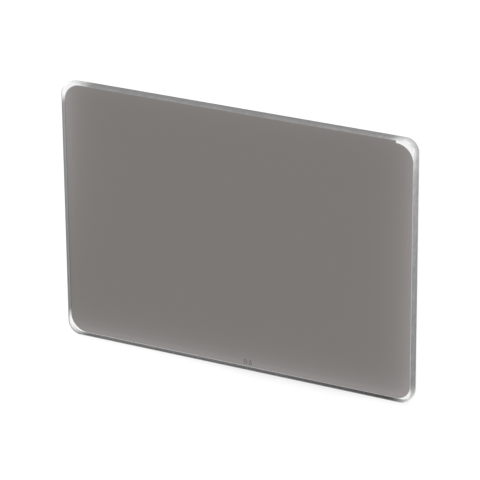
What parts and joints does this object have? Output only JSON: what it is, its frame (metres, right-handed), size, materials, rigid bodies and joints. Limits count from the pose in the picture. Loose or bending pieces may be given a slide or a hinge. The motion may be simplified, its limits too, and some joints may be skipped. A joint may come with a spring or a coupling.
{
  "type": "neutral density filter",
  "caption": "Rectangular glass camera filter plate with rounded corners, ground edges and a neutral grey coated field inside a thin clear rim.",
  "frame": {"origin": "centre of the plate's back face, the face that it lies on", "axes": "+X along the plate's longer side, +Y across it, away from the marked lower border, +Z through the thickness, out of the marked front face"},
  "size_m": [0.1436, 0.1016, 0.004],
  "materials": {
    "coated_glass": "polished optical glass with a neutral grey coating"
  },
  "bodies": {
    "root": {"filter_plate": "coated_glass"}
  },
  "joints": []
}
